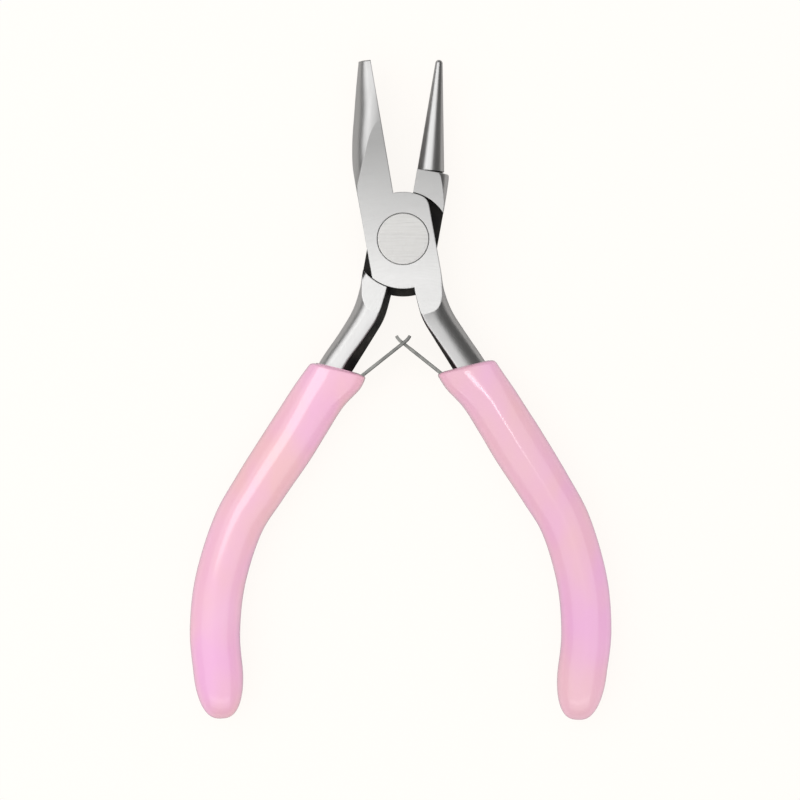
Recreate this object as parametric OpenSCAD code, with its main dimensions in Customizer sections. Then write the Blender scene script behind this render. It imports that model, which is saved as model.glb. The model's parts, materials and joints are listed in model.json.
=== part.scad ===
// Combination jewellery pliers, 125 mm long: one flat jaw with a half-round back, one round jaw,
// a lap joint on a flush rivet, two crossed leaf springs and vinyl grips dipped over the handles.
//
// The tool lies on its back. +Y points to the jaws, +X to the right and +Z up from the bench. The
// origin is where the pivot axis meets the bench. Both halves start from one blank, drawn closed
// with the jaw at the left and the handle at the right. The front half is the blank swung open, and
// the back half is the blank turned over about the Y axis and swung open the other way.

/* [Opening] */
// Angle between the two halves, fully open
open_angle = 20.5; // [14:0.5:20.5]

/* [Joint] */
// Thickness of the steel at the joint, ground flat on both faces
joint_t = 9; // [8.6:0.1:9.4]
// Clearance between the two lapped faces
lap_gap = 0.1; // [0.06:0.02:0.2]
// Radius of both lap plates on the jaw side
plate_r = 8.85; // [8.6:0.05:9]
// Radius of the front plate on the handle side
front_heel_r = 9.4; // [9.2:0.05:9.6]
// Radius of the back plate on the handle side, seen as a strip in the crotch
back_heel_r = 10.6; // [10.2:0.05:10.8]
// Clearance between a plate and the shoulders of the other half
shoulder_gap = 0.15; // [0.1:0.05:0.3]

/* [Outline] */
// From the pivot to the outer edge of the flat jaw
flat_jaw_side = 7.05; // [6.9:0.05:7.2]
// From the pivot to the outer edge of the round jaw
round_jaw_side = 6.6; // [6.4:0.05:6.8]
// From the pivot to the outer edge of the front handle
front_arm_side = 5.95; // [5.8:0.05:6.1]
// From the pivot to the outer edge of the back handle
back_arm_side = 6.45; // [6.3:0.05:6.6]

/* [Jaws] */
// From the pivot to the jaw tips
jaw_reach = 34.9; // [33:0.1:36]
// Gap at the root of the closed jaws, on each side of the middle
root_gap = 0.3; // [0.2:0.05:0.5]
// Gap at the tip of the closed jaws, on each side of the middle
tip_gap = 0.03; // [0.02:0.01:0.1]
// From the pivot to the collar below the round jaw
collar_y = 13.5; // [13:0.1:14.5]
// Diameter of the round jaw at the collar
round_d = 5.2; // [4.8:0.1:5.4]
// Diameter of the round jaw at the tip
round_tip_d = 1.4; // [1:0.1:2]

/* [Pivot rivet] */
// Diameter of the flush head
head_d = 9.7; // [9:0.1:10]
// Depth of the head
head_t = 2; // [1.5:0.1:2.4]
// Diameter of the shank
shank_d = 6; // [5:0.1:6.5]
// Diameter of the flared tail
tail_d = 8; // [7:0.1:8.4]
// Depth of the flared tail
tail_t = 1; // [0.8:0.1:1.4]
// Radial clearance between the rivet and the half that turns on it
turn_gap = 0.05; // [0.03:0.01:0.08]

/* [Leaf springs] */
// Thickness of the spring strip
leaf_t = 0.6; // [0.4:0.05:0.6]
// Width of the spring strip
leaf_w = 5; // [4.4:0.1:5]
// From a spring's bending line to where the two blades cross
leaf_reach = 10.36; // [10.2:0.02:10.5]
// Length of a blade past the crossing
leaf_past = 1.9; // [1.7:0.1:2]
// Radius of the curl at the end of a blade
curl_r = 3; // [2.6:0.1:4]
// Angle of the curl
curl_angle = 25; // [15:1:28]
// Width of the tongue on the right blade
tongue_w = 2; // [1.6:0.1:2.2]
// Clearance on each side of the tongue in the left blade's window
tongue_gap = 0.2; // [0.15:0.05:0.3]
// Length of the clamped foot below its bend
foot_l = 7.4; // [7:0.1:7.6]
// Diameter of the rivet that holds a spring
spring_rivet_d = 2.2; // [1.8:0.1:2.4]
// Diameter of that rivet's head
spring_head_d = 3.6; // [3:0.1:3.8]
// Depth of that rivet's head
spring_head_t = 0.7; // [0.5:0.1:0.8]

/* [Grips] */
// Thickness of the vinyl over the handles
wall = 1.6; // [1.4:0.1:1.8]
// Clearance between the vinyl and the steel inside it
fit_gap = 0.05; // [0.03:0.01:0.1]
// Radius of the lip at the mouth
lip_r = 0.9; // [0.5:0.1:1]

/* [Hidden] */

half_open = open_angle / 2;
mid_z = joint_t / 2;
lap_z = mid_z + lap_gap / 2;
eps = 0.5;
$fn = 96;

steel = "silver";
spring_steel = "gray";
vinyl = "pink";

// Points in the rounded half of a steel section, and in a whole grip section
steel_points = 13;
grip_points = 20;

// Steps between rings along a handle, along a grip and along the cavity in a grip
handle_steps = 26;
grip_steps = 19;
cavity_steps = 15;

// Flat jaw, from the joint to the tip: [y, outer x, half thickness, roundness, drop]. Roundness is
// the exponent of the section's curve: 2 is an ellipse, and a larger one is closer to a box. Drop
// is how much lower the section is at the inner face.
flat_jaw_rows = [
    [5, -flat_jaw_side, 8.2, 9, 0],
    [9, -flat_jaw_side, 7.6, 7, 0],
    [12.4, -flat_jaw_side, 6.1, 3.6, 0],
    [16, -flat_jaw_side + 0.15, 5.3, 2.7, 0],
    [20.5, -6.1, 4.8, 2.3, 0],
    [25, -4.95, 4.15, 2.05, 0],
    [30, -3.65, 2.95, 2, 0],
    [jaw_reach - 0.6, -2.45, 2, 2, 0.1],
    [jaw_reach - 0.18, -2.3, 1.85, 2, 0.3],
    [jaw_reach, -1.5, 1.5, 2, 0.5]
];

// Collar below the round jaw, in the same terms
collar_rows = [
    [5, -round_jaw_side, 8, 9, 0],
    [9, -round_jaw_side, 5.6, 5.5, 0],
    [collar_y - 0.5, -round_jaw_side + 0.15, 4.9, 4, 0],
    [collar_y, -round_jaw_side + 0.45, 4.8, 4, 0]
];

// Handle, from the joint to the grip's mouth and on into the grip:
// [inner x, inner y, outer x, outer y, half thickness, roundness, front bevel, back bevel].
// The bevels are how far the inner edges stand back on the two faces of the blank.
function arm_rows(side) = let(extra = side - front_arm_side) [
    [0.6, -2, side, -2, 7.6, 9, 0, 1.3],
    [0.45, -8.5, side, -7.6, 7, 6, 0, 1.3],
    [0.5, -11.5, side, -10.8, 5.8, 3.8, 0, 1.25],
    [0.95, -15.5, 6.7 + 0.7 * extra, -14.8, 4.3, 2.5, 0.1, 1.2],
    [2.6, -20, 8.5 + 0.4 * extra, -19.3, 3.6, 2.3, 0.4, 1.4],
    [4.7, -25.3, 11 + 0.4 * extra, -24.9, 3.1, 2.2, 0.7, 1.8],
    [6.85, -30.9, 12.8 + 0.2 * extra, -29.8, 2.9, 2.4, 1, 1.2],
    concat([9.35, -37.8, 15.5, -35.3], tang_section)
];
mouth_row = 5;

// The same last four values for every row inside the grip
tang_section = [2.9, 2.4, 1, 1];

// Grip, from the mouth to where the rounded end starts: [inner x, inner y, outer x, outer y,
// half thickness, roundness]
front_mouth = [1.7, -26.1, 13, -25.4, 4.2, 3.6];
back_mouth = [2.3, -26.7, 13.1, -26, 4.2, 3.6];
function level_grip_rows(side) = [
    side == back_arm_side ? back_mouth : front_mouth,
    [3, -29.3, 14.45, -28.7, 4.35, 3.3],
    [5.6, -33.4, 15.95, -32, 4.4, 2.8],
    [7.85, -39, 17.6, -36, 4.4, 2.5],
    [10, -44.6, 19.35, -40.2, 4.4, 2.35],
    [13.7, -53, 22.95, -49.4, 4.35, 2.35],
    [16.4, -60, 25.8, -58.2, 4.3, 2.35],
    [17.5, -70, 27.1, -70, 4.3, 2.35],
    [16.7, -79, 26.2, -80.2, 4.3, 2.35],
    [14.9, -85.6, 24.05, -87.8, 4.2, 2.35]
];
grip_end = [17, -95.65];

// Below this height too the handles are not quite alike: the front one leans in, the back one out
lean_y = -40;
lean = 0.0125;

function lean_at(y, side) = (side == back_arm_side ? lean : -lean) * max(0, lean_y - y);
function leaning(r, side) =
    [r[0] + lean_at(r[1], side), r[1], r[2] + lean_at(r[3], side), r[3], r[4], r[5]];
function grip_rows(side) = [for (r = level_grip_rows(side)) leaning(r, side)];

// Inside the grips the handles follow the grip from this row on
first_tang_row = 4;

// Roundness of the cavity in a grip, and its room above and below the handle
cavity_round = 5;
cavity_room = 0.2;

// Groove along the root of each jaw's inner face, so that a flat work piece lies against the face
relief_r = 0.25;
relief_y = plate_r + 0.1;

// Where a blade bends, just inside the mouth, and where its foot meets the handle
bend_line = [3.35, -27.07];
foot_bend = [6.72, -30.9];
foot_angle = 110.1;
foot_end = foot_bend - foot_l * [cos(foot_angle), sin(foot_angle)];
foot_rivet_at = 0.45 * foot_l;
spring_rivet_depth = 2.6;

// Along a blade from the crossing: back to the shoulders of the tongue, back to the start of the
// window, and the window's length
tongue_neck = 1.6;
window_start = 1.15;
window_l = 2.25;

// Elevation of the blades and their direction within a half, as drawn and closed
rest_elevation = acos(turned(bend_line, half_open).x / leaf_reach);
closed_elevation = acos(bend_line.x / leaf_reach);
rest_blade_angle = 180 - rest_elevation - half_open;
closed_blade_angle = 180 - closed_elevation;

// Catmull-Rom curve through the rows p: u counts the rows and may lie between two
function spline(p, u) =
    let(i = min(floor(u), len(p) - 2), t = u - i)
    let(a = p[max(i - 1, 0)], b = p[i], c = p[i + 1], d = p[min(i + 2, len(p) - 1)])
    0.5 * (2 * b + t * (c - a) + t * t * (2 * a - 5 * b + 4 * c - d)
        + t * t * t * (3 * b - a - 3 * c + d));

// Rows at n + 1 even places from u to v
function stations(p, u, v, n) = [for (k = [0 : n]) spline(p, u + (v - u) * k / n)];

function power(v, e) = sign(v) * pow(abs(v), e);
function unit(v) = v / norm(v);
function left_of(v) = [-v.y, v.x];
function turned(v, a) = [v.x * cos(a) - v.y * sin(a), v.x * sin(a) + v.y * cos(a)];
function reversed(p) = [for (k = [len(p) - 1 : -1 : 0]) p[k]];

// Half of a superellipse, from the back face round the outer side to the front face
function outer_curve(w, h, round) = [
    for (k = [0 : steel_points - 1])
        let(a = -90 + 180 * k / (steel_points - 1))
        [w * power(cos(a), 2 / round), h * power(sin(a), 2 / round)]
];

// A section stood up between two points, drawn as [distance from the inner point, height]
function placed(section, inner, outer) =
    let(d = unit(outer - inner))
    [for (p = section) [inner.x + p.x * d.x, inner.y + p.x * d.y, mid_z + p.y]];

// Handle section: rounded outside, nearly flat inside with two bevels
function arm_ring(r) =
    let(inner = [r[0], r[1]], outer = [r[2], r[3]], w = norm(outer - inner), h = r[4])
    let(crown = 0.35 * w, corner = 0.3)
    placed(concat(
        [for (p = outer_curve(w - crown, h, r[5])) [crown + p.x, p.y]],
        [[r[6] + corner, h], [r[6], h - corner], [0, 0.3 * h], [r[7], corner - h], [r[7] + corner, -h]]
    ), inner, outer);

// Jaw section: rounded outside, and running past the middle, where the inner face is cut flat
function jaw_ring(r) =
    let(w = -r[1] - root_gap)
    placed(concat(outer_curve(w, r[2], r[3]), [[-eps, r[2]], [-eps, -r[2]]]),
        [-root_gap, r[0] - r[4]], [r[1], r[0]]);

// Whole superellipse between two points, moved in by d
function round_ring(inner, outer, h, round, d = 0) =
    let(w = norm(outer - inner) / 2)
    placed([
        for (k = [0 : grip_points - 1])
            let(a = 360 * k / grip_points)
            [w + (w - d) * power(cos(a), 2 / round), (h - d) * power(sin(a), 2 / round)]
    ], inner, outer);

function grip_ring(r, d = 0) = round_ring([r[0], r[1]], [r[2], r[3]], r[4], r[5], d);

// Room for the handle inside the grip
function cavity_ring(r) =
    round_ring([r[0], r[1]], [r[2], r[3]], r[4] + cavity_room, cavity_round, -2 * fit_gap);

// A row of the grip with both edges moved in by the wall
function tang_row(r) =
    let(v = wall * unit([r[2] - r[0], r[3] - r[1]]))
    concat([r[0] + v.x, r[1] + v.y, r[2] - v.x, r[3] - v.y], tang_section);

function handle_rows(side) = concat(
    arm_rows(side),
    [for (k = [first_tang_row : len(grip_rows(side)) - 1]) tang_row(grip_rows(side)[k])]
);
tang_end = len(handle_rows(0)) - 1.2;
function cavity_from(side) = mouth_row + (side == back_arm_side ? 0.225 : 0.15);
cavity_to = tang_end + 0.05;

// Outline of a strip t thick along a path
function strip(path, t) =
    let(last = len(path) - 1)
    let(normals = [for (k = [0 : last])
        let(a = left_of(unit(path[max(k, 1)] - path[max(k, 1) - 1])))
        let(b = left_of(unit(path[min(k, last - 1) + 1] - path[min(k, last - 1)])))
        (a + b) / (1 + a * b)])
    concat(
        [for (k = [0 : last]) path[k] + normals[k] * t / 2],
        [for (k = [last : -1 : 0]) path[k] - normals[k] * t / 2]
    );

// Solid through a list of rings with equal numbers of points
module loft(rings) {
    n = len(rings[0]);
    last = len(rings) - 1;
    polyhedron(
        points = [for (ring = rings) for (p = ring) p],
        faces = concat(
            [[for (k = [0 : n - 1]) k]],
            [for (i = [0 : last - 1], k = [0 : n - 1])
                [i * n + k, (i + 1) * n + k, i * n + (k + 1) % n]],
            [for (i = [0 : last - 1], k = [0 : n - 1])
                [i * n + (k + 1) % n, (i + 1) * n + k, (i + 1) * n + (k + 1) % n]],
            [[for (k = [n - 1 : -1 : 0]) last * n + k]]
        ),
        convexity = 4
    );
}

// Everything between the two ground faces
module slab() {
    translate([-50, -150, 0])
        cube([100, 200, joint_t]);
}

// Half a disc on the jaw side (1) or the handle side (-1), from z = 0 up
module half_disc(r, side, h) {
    intersection() {
        cylinder(h = h, r = r);
        translate([-2 * r, side > 0 ? 0 : -2 * r, -eps])
            cube([4 * r, 2 * r, h + 2 * eps]);
    }
}

// Lap plate: two arcs between the two edges of the blank
module plate(jaw_side, arm_side, heel_r) {
    translate([0, 0, lap_z])
        intersection() {
            union() {
                half_disc(plate_r, 1, joint_t - lap_z);
                half_disc(heel_r, -1, joint_t - lap_z);
            }
            translate([-jaw_side, -2 * plate_r, -eps])
                cube([jaw_side + arm_side, 4 * plate_r, joint_t]);
        }
}

// Room for the plate of the other half
module lap_room(heel_r) {
    translate([0, 0, -eps]) {
        half_disc(plate_r + shoulder_gap, 1, lap_z + eps);
        half_disc(heel_r + shoulder_gap, -1, lap_z + eps);
    }
}

// Everything past the inner face of a jaw, which leans so that the tips meet first
module past_inner_face() {
    slant = atan((root_gap - tip_gap) / (jaw_reach - plate_r));
    translate([-root_gap, plate_r, 0])
        rotate([0, 0, -slant])
            translate([0, -plate_r, -joint_t])
                cube([plate_r, jaw_reach + plate_r, 3 * joint_t]);
}

// Jaw from a list of rows, ground flat on both faces and on its inner face
module jaw(rows) {
    difference() {
        intersection() {
            loft([for (r = stations(rows, 0, len(rows) - 1, 2 * len(rows))) jaw_ring(r)]);
            slab();
        }
        past_inner_face();
        translate([-root_gap, relief_y, -eps])
            cylinder(h = joint_t + 2 * eps, r = relief_r, $fn = 32);
    }
}

// Tapered round jaw with a domed tip
module round_jaw() {
    r1 = round_d / 2;
    r2 = round_tip_d / 2;
    sunk = 2;
    base = [-root_gap - r1, collar_y];
    axis = [-tip_gap - r2, jaw_reach - r2] - base;
    translate([base.x, base.y, mid_z])
        rotate([0, 0, atan2(axis.y, axis.x)])
            rotate([0, 90, 0]) {
                translate([0, 0, -sunk])
                    cylinder(h = sunk + eps, r = r1 - eps);
                cylinder(h = norm(axis), r1 = r1, r2 = r2);
                translate([0, 0, norm(axis)])
                    sphere(r = r2);
            }
}

module handle(side) {
    intersection() {
        loft([for (r = stations(handle_rows(side), 0, tang_end, handle_steps)) arm_ring(r)]);
        slab();
    }
}

// Places its children on the spring's foot: X runs up the foot and Y points off the handle
module on_foot() {
    translate([foot_end.x, foot_end.y, mid_z])
        rotate([0, 0, foot_angle])
            children();
}

// Flat seat for a spring's foot, and the hole for its rivet
module spring_seat() {
    reach = foot_l + 2 * leaf_t;
    depth = 2;
    on_foot()
        translate([-leaf_t, -leaf_t / 2, -mid_z])
            cube([reach, depth, joint_t]);
    spring_rivet_hole();
}

module spring_rivet_hole() {
    on_foot()
        translate([foot_rivet_at, leaf_t, 0])
            rotate([90, 0, 0])
                cylinder(h = 1.5 * leaf_t + spring_rivet_depth, d = spring_rivet_d, $fn = 48);
}

// One half of the tool in the blank's own position
module half(jaw_side, arm_side, heel_r, other_heel_r) {
    plate(jaw_side, arm_side, heel_r);
    difference() {
        union() {
            children();
            handle(arm_side);
        }
        lap_room(other_heel_r);
        spring_seat();
    }
}

// Swings a blank open as the front half, or turns it over and swings it open as the back half
module front_place() {
    rotate([0, 0, half_open])
        children();
}

module back_place() {
    rotate([0, 0, -half_open])
        translate([0, 0, joint_t])
            rotate([0, 180, 0])
                children();
}

module front_half() {
    color(steel)
        front_place()
            difference() {
                half(flat_jaw_side, front_arm_side, front_heel_r, back_heel_r)
                    jaw(flat_jaw_rows);
                cylinder(h = 3 * joint_t, d = shank_d, center = true);
                translate([0, 0, joint_t - head_t])
                    cylinder(h = joint_t, d = head_d);
            }
}

module back_half() {
    color(steel)
        back_place()
            difference() {
                half(round_jaw_side, back_arm_side, back_heel_r, front_heel_r) {
                    jaw(collar_rows);
                    round_jaw();
                }
                cylinder(h = 3 * joint_t, r = shank_d / 2 + turn_gap, center = true);
                translate([0, 0, joint_t - tail_t])
                    cylinder(h = tail_t, r1 = shank_d / 2 + turn_gap, r2 = tail_d / 2 + turn_gap);
            }
}

// Flush rivet: head in the front half, flared tail in the back half
module pivot_rivet() {
    color(steel) {
        translate([0, 0, joint_t - head_t])
            cylinder(h = head_t, d = head_d);
        translate([0, 0, tail_t])
            cylinder(h = joint_t - head_t - tail_t, d = shank_d);
        cylinder(h = tail_t, d1 = tail_d, d2 = shank_d);
    }
}

// Clamped end of a spring: along the handle, then across the mouth of the grip to the bend
module spring_foot() {
    color(spring_steel)
        difference() {
            translate([0, 0, mid_z - leaf_w / 2])
                linear_extrude(leaf_w)
                    polygon(strip([foot_end, foot_bend, bend_line], leaf_t));
            translate([bend_line.x, bend_line.y, 0])
                cylinder(h = joint_t, r = leaf_t / 2 + turn_gap, $fn = 48);
            spring_rivet_hole();
        }
}

// Side view of a blade, from the bend along +X to its curled end
module blade_outline() {
    curl_at = leaf_reach + leaf_past - curl_r * curl_angle * PI / 180;
    circle(d = leaf_t, $fn = 48);
    translate([0, -leaf_t / 2])
        square([curl_at, leaf_t]);
    translate([curl_at, -curl_r])
        intersection() {
            difference() {
                circle(r = curl_r + leaf_t / 2);
                circle(r = curl_r - leaf_t / 2);
            }
            polygon([[0, 0], [0, 2 * curl_r], 2 * curl_r * [sin(curl_angle), cos(curl_angle)]]);
        }
}

// Flexing end of a spring. Its children are cut out of it, in the frame of the blade.
module spring_blade() {
    color(spring_steel)
        translate([bend_line.x, bend_line.y, mid_z])
            rotate([0, 0, rest_blade_angle])
                difference() {
                    translate([0, 0, -leaf_w / 2])
                        linear_extrude(leaf_w)
                            blade_outline();
                    children();
                }
}

// Leaves a narrow tongue from just before the crossing to the end
module tongue_cut() {
    for (z = [tongue_w / 2, -tongue_w / 2 - joint_t])
        translate([leaf_reach - tongue_neck, -joint_t, z])
            cube([3 * leaf_past, 2 * joint_t, joint_t]);
}

// Window that the tongue passes through
module window_cut() {
    width = tongue_w + 2 * tongue_gap;
    translate([leaf_reach - window_start, -joint_t, -width / 2])
        cube([window_l, 2 * joint_t, width]);
}

// Rivet through a spring's foot into the handle
module spring_rivet() {
    color(spring_steel)
        on_foot()
            translate([foot_rivet_at, 0, 0])
                rotate([90, 0, 0]) {
                    translate([0, 0, -leaf_t / 2 - spring_head_t])
                        cylinder(h = spring_head_t, d = spring_head_d, $fn = 48);
                    translate([0, 0, -leaf_t / 2])
                        cylinder(h = leaf_t + spring_rivet_depth, d = spring_rivet_d, $fn = 48);
                }
}

// Room in the vinyl for the spring, its rivet and the swing of the blade
module spring_room() {
    margin = 2 * fit_gap;
    swing_r = 4;
    angles = [rest_blade_angle, closed_blade_angle];
    translate([0, 0, mid_z - leaf_w / 2 - margin])
        linear_extrude(leaf_w + 2 * margin) {
            polygon(strip([foot_end - margin * [0, 1], foot_bend, bend_line], leaf_t + 2 * margin));
            translate(bend_line)
                circle(d = leaf_t + 4 * margin, $fn = 48);
            for (a = angles)
                polygon(strip([bend_line, bend_line + swing_r * [cos(a), sin(a)]], leaf_t + 2 * margin));
            polygon([bend_line, for (a = angles) bend_line + swing_r * [cos(a), sin(a)]]);
        }
    on_foot()
        translate([foot_rivet_at, leaf_t / 2 + spring_head_t + margin, 0])
            rotate([90, 0, 0])
                cylinder(h = spring_head_t + margin, d = spring_head_d + 2 * margin, $fn = 48);
}

// Vinyl shell: from the end of its cavity to the mouth, round the lip and on to its rounded end,
// which is blunter in plan than in thickness
module grip(side) {
    rows = grip_rows(side);
    last = len(rows) - 1;
    edge = rows[last];
    end = grip_end + [lean_at(grip_end.y, side), 0];
    middle = [edge[0] + edge[2], edge[1] + edge[3]] / 2;
    half_width = [edge[2] - edge[0], edge[3] - edge[1]] / 2;
    color(vinyl)
        difference() {
            loft(concat(
                [for (r = reversed(stations(handle_rows(side), cavity_from(side), cavity_to, cavity_steps)))
                    cavity_ring(r)],
                [for (a = [0 : 30 : 60])
                    grip_ring(spline(rows, lip_r * (1 - cos(a)) / 3), lip_r * (1 - sin(a)))],
                [for (r = stations(rows, lip_r / 3, last, grip_steps)) grip_ring(r)],
                [for (a = [14 : 14 : 84])
                    let(c = middle + (end - middle) * sin(a), reach = half_width * pow(cos(a), 0.75))
                    round_ring(c - reach, c + reach, edge[4] * pow(cos(a), 0.92), edge[5])]
            ));
            spring_room();
        }
}

front_half();
back_half();
pivot_rivet();
front_place() grip(front_arm_side);  // grip_right
back_place() grip(back_arm_side);  // grip_left
front_place() spring_foot();  // spring_foot_right
back_place() spring_foot();  // spring_foot_left
front_place() spring_blade() tongue_cut();  // spring_leaf_right
back_place() spring_blade() window_cut();  // spring_leaf_left
front_place() spring_rivet();  // spring_rivet_right
back_place() spring_rivet();  // spring_rivet_left
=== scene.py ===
"""Jewellery pliers with a flat and a round jaw: the visual model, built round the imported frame.

Shapes are drawn in millimetres in the position of a blank: closed, with the jaw at the left and the
handle at the right. The front half is the blank swung open. The back half is the blank turned over
and swung open the other way. Everything is then stored in metres in the frame of the CAD model.
"""
import json
import math

import bmesh
import bpy
import numpy as np
from mathutils import Matrix, Vector


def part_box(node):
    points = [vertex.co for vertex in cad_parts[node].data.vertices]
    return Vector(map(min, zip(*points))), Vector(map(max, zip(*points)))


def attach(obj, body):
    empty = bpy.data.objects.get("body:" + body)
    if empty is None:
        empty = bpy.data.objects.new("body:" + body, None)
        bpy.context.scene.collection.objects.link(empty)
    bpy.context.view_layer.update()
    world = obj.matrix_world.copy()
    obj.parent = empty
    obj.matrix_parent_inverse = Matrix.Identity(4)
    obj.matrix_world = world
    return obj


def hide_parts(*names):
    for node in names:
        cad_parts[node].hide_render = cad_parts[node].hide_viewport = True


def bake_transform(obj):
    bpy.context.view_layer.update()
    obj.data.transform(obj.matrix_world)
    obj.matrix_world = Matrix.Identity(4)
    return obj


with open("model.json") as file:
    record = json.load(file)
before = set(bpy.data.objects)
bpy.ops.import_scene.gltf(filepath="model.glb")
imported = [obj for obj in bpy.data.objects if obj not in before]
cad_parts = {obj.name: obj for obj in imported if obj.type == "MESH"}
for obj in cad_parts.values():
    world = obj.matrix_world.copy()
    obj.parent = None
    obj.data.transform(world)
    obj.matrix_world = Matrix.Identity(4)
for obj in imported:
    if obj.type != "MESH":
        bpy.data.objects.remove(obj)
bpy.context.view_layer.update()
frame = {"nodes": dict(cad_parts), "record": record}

MM = 0.001
JOINTS = {joint["name"]: joint for joint in frame["record"]["behaviour"]["joints"]}

# ---------------------------------------------------------------------------------------------
# Dimensions, in millimetres and as in the CAD model
# ---------------------------------------------------------------------------------------------

JOINT_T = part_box("front_half")[1].z / MM
MID_Z = JOINT_T / 2
HALF_OPEN = math.radians(JOINTS["pivot"]["range_deg"][1] / 2)

PLATE_R = 8.85
FRONT_HEEL_R = 9.4
BACK_HEEL_R = 10.6
SHOULDER_GAP = 0.15
LAP_Z = MID_Z + 0.05
PLATE_CORNER = 1.3

FLAT_JAW_SIDE = 7.05
ROUND_JAW_SIDE = 6.6
FRONT_ARM_SIDE = 5.95
BACK_ARM_SIDE = 6.45

JAW_REACH = 34.9
ROOT_GAP = 0.3
TIP_GAP = 0.03
COLLAR_Y = 13.5
ROUND_R = 2.6
ROUND_TIP_R = 0.7

HEAD_R = (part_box("pivot_rivet")[1].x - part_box("pivot_rivet")[0].x) / 2 / MM
HEAD_T = 2.0
SHANK_R = 3.0
TAIL_R = 4.0
TAIL_T = 1.0
RIVET_GROOVE = 0.05

LEAF_T = 0.6
LEAF_W = (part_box("spring_leaf_right")[1].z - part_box("spring_leaf_right")[0].z) / MM
LEAF_REACH = 10.36
LEAF_PAST = 1.9
CURL_R = 3.0
CURL = math.radians(25)
TONGUE_W = 2.0
TONGUE_GAP = 0.2
TONGUE_NECK = 1.6
WINDOW_BEFORE = 1.15
WINDOW_PAST = 1.1
BEND_LINE = np.array([3.35, -27.07])
FOOT_BEND = np.array([6.72, -30.9])
FOOT_L = 7.4
FOOT_ANGLE = math.radians(110.1)

WALL = 1.6
LIP_R = 0.9

# Bevels of the steel halves, of the springs and of the pivot rivet
STEEL_EDGE = 0.1
LEAF_EDGE = 0.06
RIVET_EDGE = 0.07

# Flat jaw, from the joint to the tip: y, outer x, half thickness, roundness of the section, and
# how much lower the section is at the inner face
FLAT_JAW_ROWS = np.array([
    [5, -FLAT_JAW_SIDE, 8.2, 9, 0],
    [9, -FLAT_JAW_SIDE, 7.6, 7, 0],
    [12.4, -FLAT_JAW_SIDE, 6.1, 3.6, 0],
    [16, -FLAT_JAW_SIDE + 0.15, 5.3, 2.7, 0],
    [20.5, -6.1, 4.8, 2.3, 0],
    [25, -4.95, 4.15, 2.05, 0],
    [30, -3.65, 2.95, 2, 0],
    [JAW_REACH - 0.6, -2.45, 2, 2, 0.1],
    [JAW_REACH - 0.18, -2.3, 1.85, 2, 0.3],
    [JAW_REACH, -1.5, 1.5, 2, 0.5],
])

# Collar below the round jaw, in the same terms
COLLAR_ROWS = np.array([
    [5, -ROUND_JAW_SIDE, 8, 9, 0],
    [9, -ROUND_JAW_SIDE, 5.6, 5.5, 0],
    [COLLAR_Y - 0.5, -ROUND_JAW_SIDE + 0.15, 4.9, 4, 0],
    [COLLAR_Y, -ROUND_JAW_SIDE + 0.45, 4.8, 4, 0],
])

# Grip, from the mouth to where its rounded end starts: inner x and y, outer x and y, half
# thickness, and roundness of the section
FRONT_MOUTH = [1.7, -26.1, 13, -25.4, 4.2, 3.6]
BACK_MOUTH = [2.3, -26.7, 13.1, -26, 4.2, 3.6]
GRIP_ROWS = np.array([
    [3, -29.3, 14.45, -28.7, 4.35, 3.3],
    [5.6, -33.4, 15.95, -32, 4.4, 2.8],
    [7.85, -39, 17.6, -36, 4.4, 2.5],
    [10, -44.6, 19.35, -40.2, 4.4, 2.35],
    [13.7, -53, 22.95, -49.4, 4.35, 2.35],
    [16.4, -60, 25.8, -58.2, 4.3, 2.35],
    [17.5, -70, 27.1, -70, 4.3, 2.35],
    [16.7, -79, 26.2, -80.2, 4.3, 2.35],
    [14.9, -85.6, 24.05, -87.8, 4.2, 2.35],
])
GRIP_END = np.array([17, -95.65])

# Tang inside the grip: the first grip row that it follows, how far before its last row it and the
# room round it end, in rows, and its half thickness, roundness and inner bevels
FIRST_TANG_ROW = 4
TANG_END = 0.2
CAVITY_END = 0.15
TANG_SECTION = [2.9, 2.4, 1, 1]

# Where the room for the handle meets the mouth of each grip, counted in rows of the handle
FRONT_CAVITY_STATION = 5.15
BACK_CAVITY_STATION = 5.225

# Below this height the handles are not quite alike: the front one leans in, the back one out
LEAN_Y = -40
LEAN = 0.0125


def leaning(point, side):
    """Plan point moved sideways by the lean of its handle."""
    slope = LEAN if side == BACK_ARM_SIDE else -LEAN
    return point + np.array([slope * max(0, LEAN_Y - point[1]), 0])


def grip_rows(side):
    """Rows of one grip, with its own mouth and lean."""
    rows = np.vstack([BACK_MOUTH if side == BACK_ARM_SIDE else FRONT_MOUTH, GRIP_ROWS])
    for row in rows:
        row[0:2] = leaning(row[0:2], side)
        row[2:4] = leaning(row[2:4], side)
    return rows


def handle_rows(side):
    """Handle, from the joint into the grip: inner x and y, outer x and y, half thickness,
    roundness, and how far the inner edges stand back on the front and back faces."""
    extra = side - FRONT_ARM_SIDE
    rows = [
        [0.6, -2, side, -2, 7.6, 9, 0, 1.3],
        [0.45, -8.5, side, -7.6, 7, 6, 0, 1.3],
        [0.5, -11.5, side, -10.8, 5.8, 3.8, 0, 1.25],
        [0.95, -15.5, 6.7 + 0.7 * extra, -14.8, 4.3, 2.5, 0.1, 1.2],
        [2.6, -20, 8.5 + 0.4 * extra, -19.3, 3.6, 2.3, 0.4, 1.4],
        [4.7, -25.3, 11 + 0.4 * extra, -24.9, 3.1, 2.2, 0.7, 1.8],
        [6.85, -30.9, 12.8 + 0.2 * extra, -29.8, 2.9, 2.4, 1, 1.2],
        [9.35, -37.8, 15.5, -35.3, *TANG_SECTION],
    ]
    for row in grip_rows(side)[FIRST_TANG_ROW:]:
        inner, outer = row[0:2], row[2:4]
        inset = WALL * (outer - inner) / np.linalg.norm(outer - inner)
        rows.append([*(inner + inset), *(outer - inset), *TANG_SECTION])
    return np.array(rows)


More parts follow.
